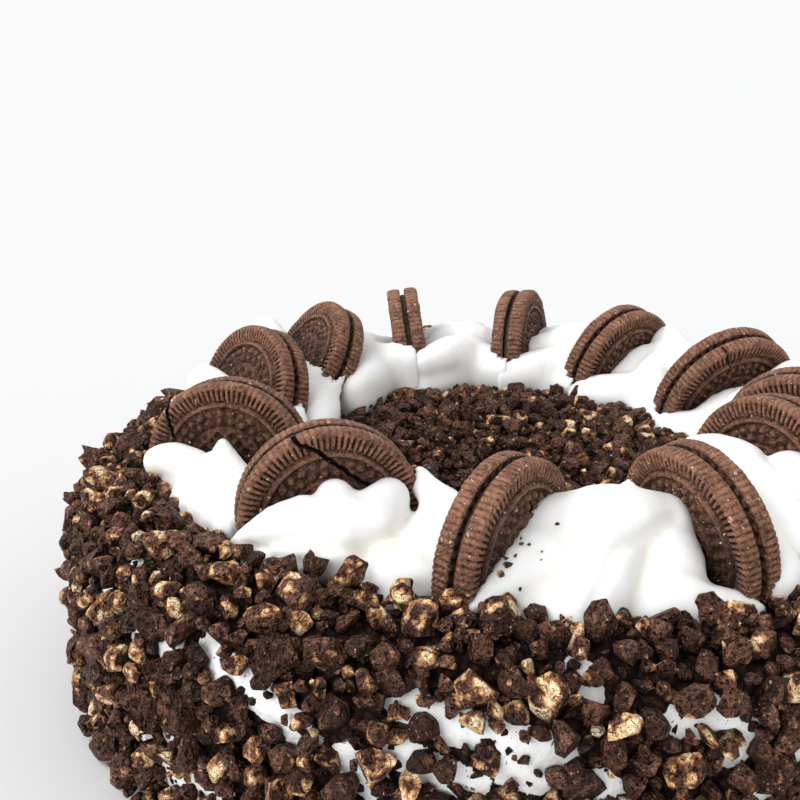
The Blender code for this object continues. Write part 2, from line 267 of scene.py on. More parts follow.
def crumb_material():
    """Porous dark cookie crumb; some chunks, soaked with cream, are tan in patches. Painted shade in its
    bumps' hollows and near the coat, and a painted highlight on the fine bump's tops.
    """
    s = Shader("crushed_cookie")
    cloud = s.noise(4.4, 2.0, 0.6)
    lump = s.noise(2.0, 2.0, 0.6)
    fine = s.noise(0.95, 2.0, 0.7)
    body = s.blend(s.attribute("tone"), CRUMB_DARK, CRUMB_BROWN)
    dusted = s.blend(s.ramp(cloud, 0.52, 0.64, 0.0, 0.8), body, CRUMB_DUST)
    # Painted shade in the hollows of the coarse bump and in the pits of the fine one
    shaded = s.blend(s.ramp(lump, 0.38, 0.50, 0.85, 0.0), dusted, CRUMB_DARK)
    pit_shaded = s.blend(s.ramp(fine, 0.38, 0.46), CRUMB_PORE_AND_SHADE, shaded)
    # A painted highlight on the tops of the fine bump
    brown = s.blend(s.ramp(fine, 0.66, 0.72), pit_shaded, CRUMB_GLINT)
    soaked = s.plus(s.noise(3.2, 2.0, 0.5), s.times(s.attribute("tan"), 0.16))
    # The tan is a little darker in the fine bump's pits, a painted shade
    speckle = s.ramp(fine, 0.36, 0.50, 0.78, 1.0)
    light = s.times(s.ramp(soaked, 0.585, 0.765), speckle)
    tan = s.bands(light, TAN_BANDS)
    mixed = s.blend(s.ramp(light, 0.02, 0.16), brown, tan)
    # Painted shade on the parts of each chunk that lie low near the coat
    colour = s.blend(s.times(s.attribute("deep"), 0.92), mixed, CRUMB_PORE_AND_SHADE)
    normal = s.bump(lump, 3.6, Normal=s.bump(fine, 1.4))
    return s.finish(colour, 0.5, normal, Specular_IOR_Level=0.16)


def wafer_material():
    """Dry dark chocolate wafer, worn lighter on what stands proud, with a painted highlight on the upper
    rim and painted shade in its pits, grooves and cracks and low on its face.
    """
    s = Shader("chocolate_wafer")
    cloud = s.noise(5.0, 3.0, 0.6)
    grain = s.noise(1.0, 3.0, 0.7)
    raised = s.attribute("wear_and_shading")
    low = s.blend(s.ramp(cloud, 0.44, 0.56), WAFER_DARK, WAFER_BROWN)
    base = s.blend(s.ramp(raised, 0.0, 0.9), low, WAFER_RAISED)
    # Lighter speckles where the fine bump stands up, and painted shade in its pits
    speckled = s.blend(s.ramp(grain, 0.52, 0.62, 0.0, 0.6), base, WAFER_LIGHT)
    pitted = s.blend(s.ramp(grain, 0.38, 0.46, 0.7, 0.0), speckled, WAFER_PIT_SHADE)
    # Lighter patches on what stands proud: wear, and a painted highlight on the rim's upper part
    rub_and_highlight = s.times(s.ramp(raised, 0.35, 1.0), s.ramp(s.noise(3.0, 3.0, 0.6), 0.42, 0.58))
    rubbed_and_lit = s.blend(s.times(rub_and_highlight, 0.8), pitted, WAFER_WEAR_AND_HIGHLIGHT)
    # Painted shade in the grooves of the face's fluted band and on the floors of the cracks
    grooved = s.blend(s.ramp(raised, -0.7, 0.1, 1.0, 0.0), rubbed_and_lit, WAFER_PIT_SHADE)
    # Painted shade low on the face, near the cream
    face_shaded = s.blend(s.times(s.attribute("face_shade"), 0.85), grooved, WAFER_PIT_SHADE)
    flecks = s.ramp(s.noise(1.2, 2.0, 0.5), 0.70, 0.72)
    colour = s.blend(flecks, face_shaded, WAFER_FLECK)
    normal = s.bump(s.noise(2.2, 3.0, 0.6), 2.4, 0.8, Normal=s.bump(grain, 1.2, 0.8))
    return s.finish(colour, 0.5, normal, Specular_IOR_Level=0.2)


def filling_material():
    """The thin filling between two wafers: a white cream, painted dark as the shade deep in the gap."""
    s = Shader("cookie_filling")
    colour = s.blend(s.ramp(s.noise(1.2, 4.0, 0.7), 0.4, 0.6), FILLING_SHADE_DARK, FILLING_SHADE_LIGHT)
    return s.finish(colour, 0.7, s.bump(s.noise(0.9, 3.0, 0.6), 0.3, 0.8))


def cream_material():
    """Soft white whipped cream that lets some light through, with painted shade, tinted yellow, in its
    hollows and creases.
    """
    s = Shader("whipped_cream")
    white = s.blend(s.ramp(s.noise(9.0, 3.0, 0.5), 0.3, 0.7), CREAM_WHITE, CREAM_SOFT)
    colour = s.blend(s.attribute("fold_shade"), white, CREAM_FOLD_SHADE)
    fine = s.bump(s.noise(0.8, 3.0, 0.6), 0.06, 0.6)
    normal = s.bump(s.noise(4.5, 3.0, 0.5), 0.35, 0.5, Normal=fine)
    return s.finish(colour, 0.42, normal, **CREAM_LIGHT)


def coat_material():
    """The cake's cream coat: bare cream in the gaps, painted lighter than the piped cream, and a carpet of
    fine crumbs elsewhere, with painted shade between them.
    """
    s = Shader("crumbed_coat")
    edge = s.plus(s.attribute("bare"), s.times(s.noise(2.0, 4.0, 0.7), 0.9))
    shown = s.ramp(edge, 0.92, 0.98)
    crumbs = s.cells(2.6)
    # Fine crumbs of the carpet, with painted shade between them where its bump is low
    dust_and_shade = s.blend(s.ramp(crumbs, 0.15, 0.60), CRUMB_DARK, CRUMB_PORE_AND_SHADE)
    grain = s.blend(s.ramp(s.noise(0.7, 4.0, 0.75), 0.42, 0.50), CRUMB_PORE_AND_SHADE, dust_and_shade)
    # The bare cream is painted lighter than the piped cream, a painted light against the shade of the
    # crumbs round it
    white = s.blend(s.ramp(s.noise(9.0, 3.0, 0.5), 0.3, 0.7), CREAM_BARE, CREAM_WHITE)
    specks = s.ramp(s.noise(0.9, 2.0, 0.5), 0.70, 0.72)
    bare = s.blend(specks, white, CRUMB_BROWN)
    folds = s.ramp(s.noise(5.0, 3.0, 0.6), 0.3, 0.7, 0.4, 0.6)
    height = s.blend(shown, s.ramp(crumbs, 0.0, 0.9, 1.0, 0.0), folds)
    return s.finish(s.blend(shown, grain, bare), 0.6, s.bump(height, 2.2), Specular_IOR_Level=0.18)


def floor_material():
    """A plain pale floor, very slightly clouded."""
    s = Shader("pale_floor")
    colour = s.blend(s.ramp(s.noise(400.0, 2.0, 0.5), 0.3, 0.7), FLOOR_A, FLOOR_B)
    return s.finish(colour, 0.9, s.bump(s.noise(30.0, 2.0, 0.5), 0.05, 0.1), Specular_IOR_Level=0.0)


# Colours, linear
# Near black: painted shade for the crumbs and the coat, and the dark grain of the coat's fine crumbs
CRUMB_PORE_AND_SHADE = (0.010, 0.004, 0.003)
CRUMB_DARK = (0.047, 0.020, 0.0125)
CRUMB_BROWN = (0.175, 0.076, 0.047)
CRUMB_DUST = (0.255, 0.122, 0.077)
CRUMB_GLINT = (0.66, 0.46, 0.32)
TAN_BANDS = (
    (0.160, 0.064, 0.034),
    (0.34, 0.155, 0.078),
    (0.66, 0.350, 0.165),
    (0.95, 0.61, 0.31),
    (1.0, 0.85, 0.60),
)
WAFER_PIT_SHADE = (0.018, 0.008, 0.005)
WAFER_DARK = (0.050, 0.022, 0.014)
WAFER_BROWN = (0.105, 0.046, 0.029)
WAFER_RAISED = (0.205, 0.094, 0.060)
WAFER_LIGHT = (0.320, 0.162, 0.103)
WAFER_WEAR_AND_HIGHLIGHT = (0.39, 0.188, 0.112)
WAFER_FLECK = (0.70, 0.53, 0.40)
# The filling's colours: painted shade, as it lies deep in the gap between the wafers
FILLING_SHADE_DARK = (0.030, 0.016, 0.010)
FILLING_SHADE_LIGHT = (0.11, 0.07, 0.045)
CREAM_WHITE = (0.86, 0.86, 0.856)
# Bare cream of the coat, a lighter copy of the cream as painted light
CREAM_BARE = (0.95, 0.95, 0.945)
CREAM_SOFT = (0.845, 0.845, 0.836)
CREAM_FOLD_SHADE = (0.85, 0.82, 0.64)
FLOOR_A = (0.671, 0.674, 0.679)
FLOOR_B = (0.668, 0.671, 0.676)

# How light goes through the cream, with the scale in metres
CREAM_LIGHT = {
    "Subsurface_Weight": 0.5,
    "Subsurface_Scale": 0.004,
    "Subsurface_Radius": (1.0, 0.9, 0.75),
    "Specular_IOR_Level": 0.35,
}


# Places of the cookies, read from the frame

def cookie_place(number):
    """Centre and the three directions of a cookie: level, up its face, and out of wafer_a."""
    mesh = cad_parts[f"cookie_{number:02d}_filling"].data
    points = mesh_points(mesh) / MM
    normal = np.array(max(mesh.polygons, key=lambda face: face.area).normal)
    if normal[1] * points[0][0] - normal[0] * points[0][1] < 0.0:
        normal = -normal
    level = unit(np.cross((0.0, 0.0, 1.0), normal))
    axes = np.array([level, np.cross(normal, level), normal])
    reach = points @ axes.T
    return (reach.min(axis=0) + reach.max(axis=0)) / 2 @ axes, axes


PLACES = {number: cookie_place(number) for number in range(1, COOKIES + 1)}


# Cookies

FLUTES = 88
FLUTE_STEPS = 3
RIM_COUNT = FLUTES * FLUTE_STEPS
FLUTE_DEPTH = 0.68
RIM_WAVES = 0.5
WAVED_ABOVE = 4.7
FLUTED_FACE = 20.9
LIP_WEAR = 0.6
WAFER_SHARP = 50.0

# Rings of a wafer from the middle of its back round the rim to its face: radius, distance from the
# cookie's mid-plane, points in the ring and share of the flutes' depth. The rim's all have RIM_COUNT
# points. Those of the face's field lie on one level, with a first radius, a limit, a step and points
BACK_RINGS = (
    (9.0, WAFER_INNER, RIM_COUNT // 8, 0.0),
    (17.0, WAFER_INNER, RIM_COUNT // 4, 0.0),
    (20.4, 1.1, RIM_COUNT // 2, 0.0),
    (21.7, 0.75, RIM_COUNT, 0.3),
)
RIM_RINGS = (
    (22.1, 1.3, 0.5), (22.2, 2.3, 0.85), (22.15, 3.5, 0.85), (22, 4.3, 0.6), (21.6, 4.8, 0.25),
    (21, 5, 0.3), (20.5, 5, 0.9), (19.4, 5, 1), (18.3, 4.9, 0.9), (17.6, 4.4, 0.1),
)
FIELD_LEVEL = 4.2
FIELD_STEPS = (
    (17.2, 9.2, 0.6, RIM_COUNT // 2),
    (8.8, 4.6, 0.55, RIM_COUNT // 4),
    (4.2, 0.6, 0.6, RIM_COUNT // 8),
)

# The pressed pattern: its height, its two rings, its rows of pegs with radius, number, shift and size
# of the pegs, and the step of the lattice inside
RELIEF = 1.0
RING_OUT = 16.2
RING_IN = 9.9
PEG_ROWS = ((14.0, 30, 0.0, 1.0), (11.8, 24, 0.5, 0.9))
LATTICE_STEP = 2.7


def ridge(distance, width):
    """A flat-topped ridge, 1 on its line and 0 from width away."""
    return 1.0 - smooth_step(0.5 * width, width, np.abs(distance))


def face_relief(x, y):
    """The pressed pattern, 0 to 1: two rings, two rows of pegs and a lattice in the middle."""
    radius = np.hypot(x, y)
    level = np.maximum(ridge(radius - RING_OUT, 0.8), ridge(radius - RING_IN, 0.7))
    for row, pegs, shift, size in PEG_ROWS:
        turn = np.arctan2(y, x) * pegs / math.tau + shift
        along = (turn - np.round(turn)) * math.tau * row / pegs
        level = np.maximum(level, ridge(np.hypot(along, radius - row), size * 1.2))
    first = (x + y) / math.sqrt(2.0) / LATTICE_STEP
    second = (x - y) / math.sqrt(2.0) / LATTICE_STEP
    bars = [ridge((value - np.round(value)) * LATTICE_STEP, 0.75) for value in (first, second)]
    return np.maximum(level, np.maximum(*bars) * (radius < RING_IN))


def wafer_rings():
    """All rings of a wafer, from back to face."""
    rings = [*BACK_RINGS, *((radius, height, RIM_COUNT, flute) for radius, height, flute in RIM_RINGS)]
    for start, end, step, count in FIELD_STEPS:
        for radius in np.arange(start, end, -step):
            rings.append((radius, FIELD_LEVEL, count, 0.0))
    return rings


def ring_faces(first, first_count, second, second_count):
    """Faces between two rings whose counts are the same or differ by a factor of two."""
    if first_count < second_count:
        return [face[::-1] for face in ring_faces(second, second_count, first, first_count)]
    outer = first + np.arange(first_count)
    inner = second + np.arange(second_count)
    after = np.roll(inner, -1)
    if first_count == second_count:
        return np.c_[outer, np.roll(outer, -1), after, inner].tolist()
    even, odd = outer[0::2], outer[1::2]
    corners = ((even, odd, inner), (odd, after, inner), (odd, np.roll(even, -1), after))
    return np.concatenate([np.array(three).T for three in corners]).tolist()


def turned_faces(counts):
    """Faces over rings with these counts of points, closed by the first and the last point."""
    faces = [(0, 1 + (i + 1) % counts[0], 1 + i) for i in range(counts[0])]
    start = 1
    for count, following in zip(counts, counts[1:]):
        faces.extend(ring_faces(start, count, start + count, following))
        start += count
    count = counts[-1]
    faces.extend((start + i, start + (i + 1) % count, start + count) for i in range(count))
    return faces


def wafer_ring(radius, height, count, flute):
    """Points of one ring of a wafer, and each point's wear and painted light and shade."""
    angle = ring_angles(count)
    wave = -np.cos(angle * FLUTES) - 0.5
    top = smooth_step(0.2, 0.85, np.sin(angle)) * (radius > FLUTED_FACE)
    flute = flute * (1.0 - LIP_WEAR * top)
    reach = radius + FLUTE_DEPTH * 0.5 * wave * flute
    points = np.array([reach * np.cos(angle), reach * np.sin(angle), np.full(count, height)])
    if height == FIELD_LEVEL:
        level = face_relief(*points[:2])
        points[2] += RELIEF * level
        return points.T, 0.75 * level
    if height > WAVED_ABOVE:
        points[2] += RIM_WAVES * wave * flute
    ribbed = smooth_step(-1.5, 0.0, wave)
    # In the face's fluted band the ribs are worn lighter and the grooves get painted shade
    if radius < FLUTED_FACE:
        return points.T, mix(-0.75, 0.95, ribbed)
    # On the rim the ribs are worn lighter, and its upper part gets a painted highlight
    return points.T, np.minimum(mix(0.1, 0.7, ribbed) + 0.3 * top, 1.0) * (height > WAFER_INNER)


def wafer_shape(seed, side):
    """Points and faces of one wafer in the cookie's own directions, and each point's wear and painted
    light and shade.
    """
    rings = wafer_rings()
    made = [wafer_ring(*ring) for ring in rings]
    points = np.concatenate([
        [(0.0, 0.0, WAFER_INNER)], *(ring for ring, _ in made), [(0.0, 0.0, FIELD_LEVEL + RELIEF * 0.5)],
    ])
    wear_and_shading = np.concatenate([[0.0], *(values for _, values in made), [0.2]])
    faces = turned_faces([ring[2] for ring in rings])
    rough = soft_noise(points, 2.4, seed) * 0.10 + soft_noise(points, 7.0, seed + 5) * 0.16
    outer = smooth_step(2.0, 4.0, points[:, 2])
    points[:, 2] += rough * outer
    points[:, :2] *= 1.0 + (rough * 0.010)[:, None]
    if side < 0:
        points[:, 2] *= -1.0
        faces = [face[::-1] for face in faces]
    return points, faces, wear_and_shading


def place_on_cookie(number, points):
    """Points in a cookie's own directions, moved to the cake."""
    centre, axes = PLACES[number]
    return np.asarray(points) @ axes + centre


# Cracks in the wafers' faces, in the cookie's own directions: cookie, side, width and points
CRACKS = (
    (1, 1, 1.15, (
        (-10.5, 22.6), (-7.1, 19.2), (-3, 17.4), (2, 12.9), (4.3, 10.9), (10.2, 7.3), (14, 2.5),
    )),
    (2, 1, 0.85, ((-17, 22), (-16.1, 17.1), (-16.2, 14), (-15.8, 11.5), (-14.8, 8.7), (-14, 6.5))),
    (8, -1, 0.45, ((10.4, 23), (7.7, 17.7), (5.3, 13), (6, 8))),
    (12, 1, 0.8, ((3.2, 12.5), (3.9, 9), (3.2, 5.5), (4.4, 1.5))),
)

# Distances from the cookie's mid-plane of the cracks' floors and of a place in front of all of it
CRACK_FLOOR = 1.9
CRACK_TOP = 6.5

# The darkest painted shade, which the floors of the cracks get
DARKEST = -1.0

# The corner that is broken off cookie 3, in its own directions
BREAK_COOKIE = 3
BREAK_LINE = (
    (15.6, 24), (16.5, 20.8), (16.8, 18.5), (19, 16.2), (21.2, 13.3), (22.4, 10), (24.5, 7.2),
)
BREAK_OUTSIDE = ((34, 7), (34, 30), (15, 30))
BREAK_FLOOR = 0.9


def jagged(line, seed):
    """The line with a point added in each half, knocked aside, twice over."""
    rng = np.random.default_rng(seed)
    line = np.array(line, float)
    for reach in (0.45, 0.22):
        middles = (line[:-1] + line[1:]) / 2 + rng.uniform(-reach, reach, (len(line) - 1, 2))
        joined = np.empty((len(line) * 2 - 1, 2))
        joined[0::2], joined[1::2] = line, middles
        line = joined
    return line


def strip_outline(line, width):
    """A thin closed outline along a line, pointed at its ends."""
    along = np.gradient(line, axis=0)
    across = along[:, ::-1] * (-1.0, 1.0) / np.linalg.norm(along, axis=1)[:, None]
    share = np.full(len(line), width / 2)
    share[-1] = 0.03
    left = line + across * share[:, None]
    right = line - across * share[:, None]
    return np.concatenate([left, right[::-1]])


def prism(number, outline, low, high):
    """A closed prism over an outline in the cookie's own directions."""
    count = len(outline)
    points = [(x, y, z) for z in (low, high) for x, y in outline]
    sides = [(i, (i + 1) % count, count + (i + 1) % count, count + i) for i in range(count)]
    faces = [range(count)[::-1], range(count, 2 * count), *sides]
    mesh = make_mesh("cutter", place_on_cookie(number, points), faces)
    work = bmesh.new()
    work.from_mesh(mesh)
    bmesh.ops.recalc_face_normals(work, faces=work.faces)
    work.to_mesh(mesh)
    work.free()
    return put("cutter", mesh)


def cut_away(mesh, cutter):
    """The mesh without what the cutter covers; the cutter is used up."""
    result = modified(mesh, "BOOLEAN", operation="DIFFERENCE", solver="EXACT", object=cutter)
    bpy.data.objects.remove(cutter)
    return result


def face_shade_share(points):
    """How far the face of a wafer gets painted shade, more so lower down near the cream that it stands in.
    """
    low = 1.0 - smooth_step(-2.0, 20.0, points[:, 1])
    face = smooth_step(3.2, 4.0, np.abs(points[:, 2]))
    return low * face * (1.0 - smooth_step(18.0, 21.0, radius_of(points)))


def darken_cracks(mesh, number):
    """Paint the floors of the cracks with the darkest shade, as places that no light reaches."""
    centre, axes = PLACES[number]
    depth = np.abs((mesh_points(mesh) / MM - centre) @ axes.T)[:, 2]
    wear_and_shading = mesh.attributes["wear_and_shading"].data
    for index in np.flatnonzero(np.abs(depth - CRACK_FLOOR) < 0.02):
        wear_and_shading[int(index)].value = DARKEST


def make_wafer(number, side, material):
    """One wafer with its flutes, pattern, cracks and breaks."""
    points, faces, wear_and_shading = wafer_shape(number * 2 + side, side)
    values = {"wear_and_shading": wear_and_shading, "face_shade": face_shade_share(points)}
    mesh = make_mesh("wafer", place_on_cookie(number, points), faces, values)
    for cookie, cracked, width, line in CRACKS:
        if (cookie, cracked) == (number, side):
            outline = strip_outline(jagged(line, number), width)
            low, high = sorted((side * CRACK_FLOOR, side * CRACK_TOP))
            mesh = cut_away(mesh, prism(number, outline, low, high))
    if (number, side) == (BREAK_COOKIE, 1):
        mesh = cut_away(mesh, prism(number, BREAK_LINE + BREAK_OUTSIDE, BREAK_FLOOR, CRACK_TOP))
    darken_cracks(mesh, number)
    letter = "a" if side > 0 else "b"
    mesh.name = f"wafer_{number:02d}_{letter}"
    mesh.shade_smooth()
    mesh.set_sharp_from_angle(angle=math.radians(WAFER_SHARP))
    add_piece(mesh, material, [f"cookie_{number:02d}_wafer_{letter}"])


# Rings of the filling from one middle round its edge to the other: radius, distance from mid-plane
FILLING_STEPS = 72
FILLING_HALF = 0.85
FILLING_RINGS = (
    (15.0, 0.85), (19.2, 0.95), (19.9, 0.55), (19.9, -0.55), (19.2, -0.95), (15.0, -0.85),
)
FILLING_UNEVEN = 0.45
FILLING_EVEN_IN = 16.0


def make_filling(number, material):
    """The filling of a cookie, uneven round its edge."""
    angle = ring_angles(FILLING_STEPS)
    around = np.array([np.cos(angle), np.sin(angle)]).T
    uneven = soft_noise(np.c_[around * 6, np.full(FILLING_STEPS, number)], 1.6, 3)
    points = [(0.0, 0.0, FILLING_HALF)]
    for radius, height in FILLING_RINGS:
        reach = radius + FILLING_UNEVEN * uneven * (radius > FILLING_EVEN_IN)
        points.extend(np.c_[around * reach[:, None], np.full(FILLING_STEPS, height)])
    points.append((0.0, 0.0, -FILLING_HALF))
    faces = [face[::-1] for face in turned_faces([FILLING_STEPS] * len(FILLING_RINGS))]
    mesh = make_mesh(f"filling_{number:02d}", place_on_cookie(number, points), faces)
    add_piece(mesh, material, [f"cookie_{number:02d}_filling"])


# Piped cream

# Grid on which a dollop is made, in its own directions
GRID_STEP = 0.9
GRID_LOW = np.array([-42.0, -33.0, -4.5])
GRID_HIGH = np.array([33.0, 28.0, 25.0])
DOLLOP_OUT = 77.0
DOLLOP_INNER = 46.5
DOLLOP_OUTER = 102.0
SLOT_DEPTH = 2.2
OVERLAP = 1.6


def bezier(controls, steps):
    """Points along a curve with three control points."""
    t = np.linspace(0.0, 1.0, steps)[:, None]
    a, b, c = np.asarray(controls, float)
    return (1 - t) ** 2 * a + 2 * t * (1 - t) * b + t * t * c


def soft_union(first, second, blend):
    """The union of two distance fields with a crease that is rounded a little."""
    share = np.clip(0.5 + 0.5 * (second - first) / blend, 0.0, 1.0)
    return mix(second, first, share) - blend * share * (1.0 - share)


def rope_field(points, controls, radii, steps=7):
    """Distance to a rope of cream whose thickness changes along a curve."""
    line = bezier(controls, steps)
    thick = bezier([(r,) for r in radii], steps)[:, 0]
    best = np.full(len(points), 1e6)
    for a, b, low, high in zip(line[:-1], line[1:], thick[:-1], thick[1:]):
        share, away = to_segment(points, a, b)
        best = np.minimum(best, away - mix(low, high, share))
    return best


def surface_nets(field, origin, step):
    """Quads where a field on a grid changes sign, with one point in each mixed cell."""
    inside = field < 0.0
    shape = np.array(field.shape) - 1
    corners = np.array(list(itertools.product((0, 1), repeat=3)))
    values = np.lib.stride_tricks.sliding_window_view(field, (2, 2, 2)).reshape(-1, 8)
    mixed = (values.min(axis=1) < 0.0) & (values.max(axis=1) >= 0.0)
    index = np.where(mixed, np.cumsum(mixed) - 1, -1).reshape(shape)
    cell = np.argwhere(index >= 0)
    total = np.zeros((len(cell), 3))
    hits = np.zeros((len(cell), 1))
    for a, b in itertools.combinations(range(8), 2):
        if math.dist(corners[a], corners[b]) == 1.0:
            first, second = values[mixed, a, None], values[mixed, b, None]
            crossed = (first < 0.0) != (second < 0.0)
            share = first / np.where(crossed, first - second, 1.0)
            total += mix(corners[a], corners[b], share) * crossed
            hits += crossed
    points = (cell + total / hits) * step + origin
    faces = []
    grid = np.argwhere(np.ones(shape, bool))
    for axis in range(3):
        one, u, v = np.roll(np.eye(3, dtype=int), -axis, axis=0)
        spots = grid[(grid @ u > 0) & (grid @ v > 0)]
        near, far = inside[tuple(spots.T)], inside[tuple((spots + one).T)]
        for wanted, order in ((near & ~far, 1), (~near & far, -1)):
            ring = [index[tuple((spots[wanted] - away).T)] for away in (0 * u, u, u + v, v)]
            faces.append(np.stack(ring, axis=1)[:, ::order])
    return points, np.concatenate(faces)


def relax(points, faces, rounds, share):
    """Smooth a mesh by moving each point towards the middle of its neighbours."""
    links = np.concatenate([faces[:, [a, (a + 1) % 4]] for a in range(4)])
    links = np.concatenate([links, links[:, ::-1]])
    count = np.bincount(links[:, 0], minlength=len(points))[:, None]
    for _ in range(rounds):
        total = np.stack([
            np.bincount(links[:, 0], points[links[:, 1], k], minlength=len(points)) for k in range(3)
        ], axis=1)
        points = mix(points, total / count, share)
    return points


def dollop_axes(number):
    """Middle of the space between two cookies, and its directions along the ring, outward and up."""
    first, second = PLACES[number][0], PLACES[number % COOKIES + 1][0]
    outward = unit((unit(first[:2]) + unit(second[:2])).tolist() + [0.0])
    along = np.array([-outward[1], outward[0], 0.0])
    return outward * DOLLOP_OUT + (0.0, 0.0, CRUMB_LEVEL), np.array([along, outward, (0.0, 0.0, 1.0)])


# Height of the cream that hides the inner edge of each of the far cookies, and of the others
COVERED = {3: 8, 4: 11.5, 5: 14, 6: 8.5, 7: 5.0}
COVERED_ELSE = 2.5

# Peaks of the dollops that hide part of a far cookie's face: along the ring, outward and height
PEAKS = {2: (-12, 12, 19.5), 3: (-13, 14, 23), 7: (11, 9, 18), 8: (11, 12, 20)}

# Creases in the dollops in front: depth, half width, how strongly the painted yellowish shade is laid
# along it, and points along the ring, outward and up
CREASES = {
    11: (
        (1, 2.4, 0, (
            (14, 2.5, 14.5), (9, 4.5, 14), (3, 7.5, 13), (-3, 10.5, 13),
            (-5.5, 12.5, 12), (-6.5, 14.5, 10.5), (-9.5, 17, 8.5), (-13, 21, 4),
        )),
        (0.8, 2, 0, ((5.5, 14.5, 6.5), (9, 14, 7.5), (15, 13, 6), (19, 13.5, 3.5))),
        (0.7, 2.6, 0, ((-13, 7, 14.5), (-15.5, 11.5, 11), (-19.5, 13, 8), (-23.5, 13.5, 6))),
    ),
    12: (
        (1.1, 2.2, 0.2, ((-31.5, 11.5, 6), (-23.5, 14.5, 5), (-17, 16, 6), (-11, 14, 10.5))),
        (1.1, 2.2, 0.3, (
            (-11, 14, 10), (-5.5, 10, 8.5), (-2, 7, 10), (0, 3.5, 11), (4.5, 5, 10.5), (11, 8.5, 9),
        )),
        (0.8, 1.4, 1, ((0, 3.5, 11), (1, 6.5, 10.5), (2, 9.5, 9.5))),
    ),
}


def crease_share(points, line, half):
    """How near points are to a line through the cream: 1 on it and 0 from half away."""
    return 1.0 - smooth_step(0.0, half, line_distance(points, line))


# Lobes of a swirl, how far they reach along the ring and outward, and the first two of each lobe's
# three points: share of the reach, of the wind and of the height
SWIRL_LOBES = 5
SWIRL_ALONG = 19.0
SWIRL_OUTWARD = 20.0
SWIRL_FOOT = ((0.84, 0.0, -0.1), (0.74, 0.5, 0.50))


def swirl_ropes(number):
    """Ropes of a piped swirl: broad lobes that start at the foot and wind up to the middle."""
    rng = np.random.default_rng(100 + number)
    start = rng.uniform(0.0, math.tau)
    wind = math.radians(rng.uniform(50.0, 85.0)) * (1 if number % 3 else -1)
    height = rng.uniform(12.0, 14.5)
    ropes = []
    for k in range(SWIRL_LOBES):
        angle = start + math.tau * k / SWIRL_LOBES + rng.uniform(-0.25, 0.25)
        controls = []
        for reach, turn, rise in (*SWIRL_FOOT, (0.20, 1.0, rng.uniform(0.72, 0.95))):
            around = angle + wind * turn
            controls.append((
                SWIRL_ALONG * reach * math.cos(around) + rng.uniform(-1, 1),
                SWIRL_OUTWARD * reach * math.sin(around) + rng.uniform(-1, 1),
                height * rise,
            ))
        radii = (rng.uniform(6.5, 8.5), rng.uniform(7.0, 8.5), rng.uniform(3.8, 5.2))
        ropes.append((rng.choice((0.25, 0.8, 2.0)), controls, radii))
    ropes.append((3.0, ((0, 0, -2), (0, 0, height * 0.3), (0, 0, height * 0.5)), (13.0, 12.0, 9.0)))
    if number in PEAKS:
        along, outward, top = PEAKS[number]
        controls = ((0, 0, 6), (along * 0.7, outward * 0.7, top - 8), (along, outward, top - 5))
        ropes.append((1.5, controls, (9.0, 8.0, 5.0)))
    return ropes


def inner_ropes(number):
    """The cream of a dollop that lies against the inner edges of its two cookies."""
    ropes = []
    for cookie, along in ((number, 17.0), (number % COOKIES + 1, -17.0)):
        top = COVERED.get(cookie, COVERED_ELSE)
        for level in (top - 5.0, min(top - 5.0, 2.0)):
            first = (0.0, -10.0, min(level, 5.0))
            controls = (first, (along * 0.4, -20.0, level + 2.5), (along, -24.5, level))
            ropes.append((2.5, controls, (8.0, 6.5, 5.0)))
    return ropes


def dollop_field(number, local, world):
    """Distance to a dollop from points given in its own directions and in the cake's."""
    field = np.full(len(local), 1e3)
    ropes = DOLLOP_ROPES.get(number) or swirl_ropes(number)
    for blend, controls, radii in [*ropes, *inner_ropes(number)]:
        field = soft_union(field, rope_field(local, controls, radii), blend)
    field = field + 0.45 * soft_noise(local, 8.0, number) + 0.16 * soft_noise(local, 3.2, number + 40)
    for depth, half, _, line in CREASES.get(number, ()):
        field = field + depth * crease_share(local, line, half)
    for cookie, sign in ((number, 1.0), (number % COOKIES + 1, -1.0)):
        middle, own = PLACES[cookie]
        inside = (world - middle) @ own.T
        slot = np.where(radius_of(inside) < COOKIE_RADIUS + 0.3, SLOT_DEPTH, -OVERLAP)
        field = np.maximum(field, sign * inside[:, 2] + slot)
    radius = radius_of(world)
    limits = (DOLLOP_INNER - radius, radius - DOLLOP_OUTER, FOOT_LEVEL - world[:, 2])
    return np.maximum.reduce([field, *limits])


def make_dollop(number, material):
    """One dollop: ropes joined with creases, trimmed to the space between its two cookies."""
    centre, axes = dollop_axes(number)
    counts = ((GRID_HIGH - GRID_LOW) / GRID_STEP).astype(int) + 1
    ticks = [low + GRID_STEP * np.arange(count) for low, count in zip(GRID_LOW, counts)]
    local = np.stack(np.meshgrid(*ticks, indexing="ij"), axis=-1).reshape(-1, 3)
    field = dollop_field(number, local, local @ axes + centre)
    points, faces = surface_nets(field.reshape(counts), GRID_LOW, GRID_STEP)
    points = relax(points, faces, 1, 0.35)
    hollow = relax(points, faces, 12, 0.6)
    # Painted shade, tinted yellow, where the surface lies below its smoothed self: in the hollows and
    # creases
    sunk = np.linalg.norm(points - hollow, axis=1) * (hollow[:, 2] > points[:, 2])
    fold_shade = np.clip(sunk * 0.8, 0.0, 1.0)
    for _, half, crease_shade, line in CREASES.get(number, ()):
        fold_shade = np.maximum(fold_shade, crease_shade * crease_share(points, line, half * 1.6))
    mesh = make_mesh(f"cream_swirl_{number:02d}", points @ axes + centre, faces, {"fold_shade": fold_shade})
    add_piece(mesh, material, [f"cream_{number:02d}"])


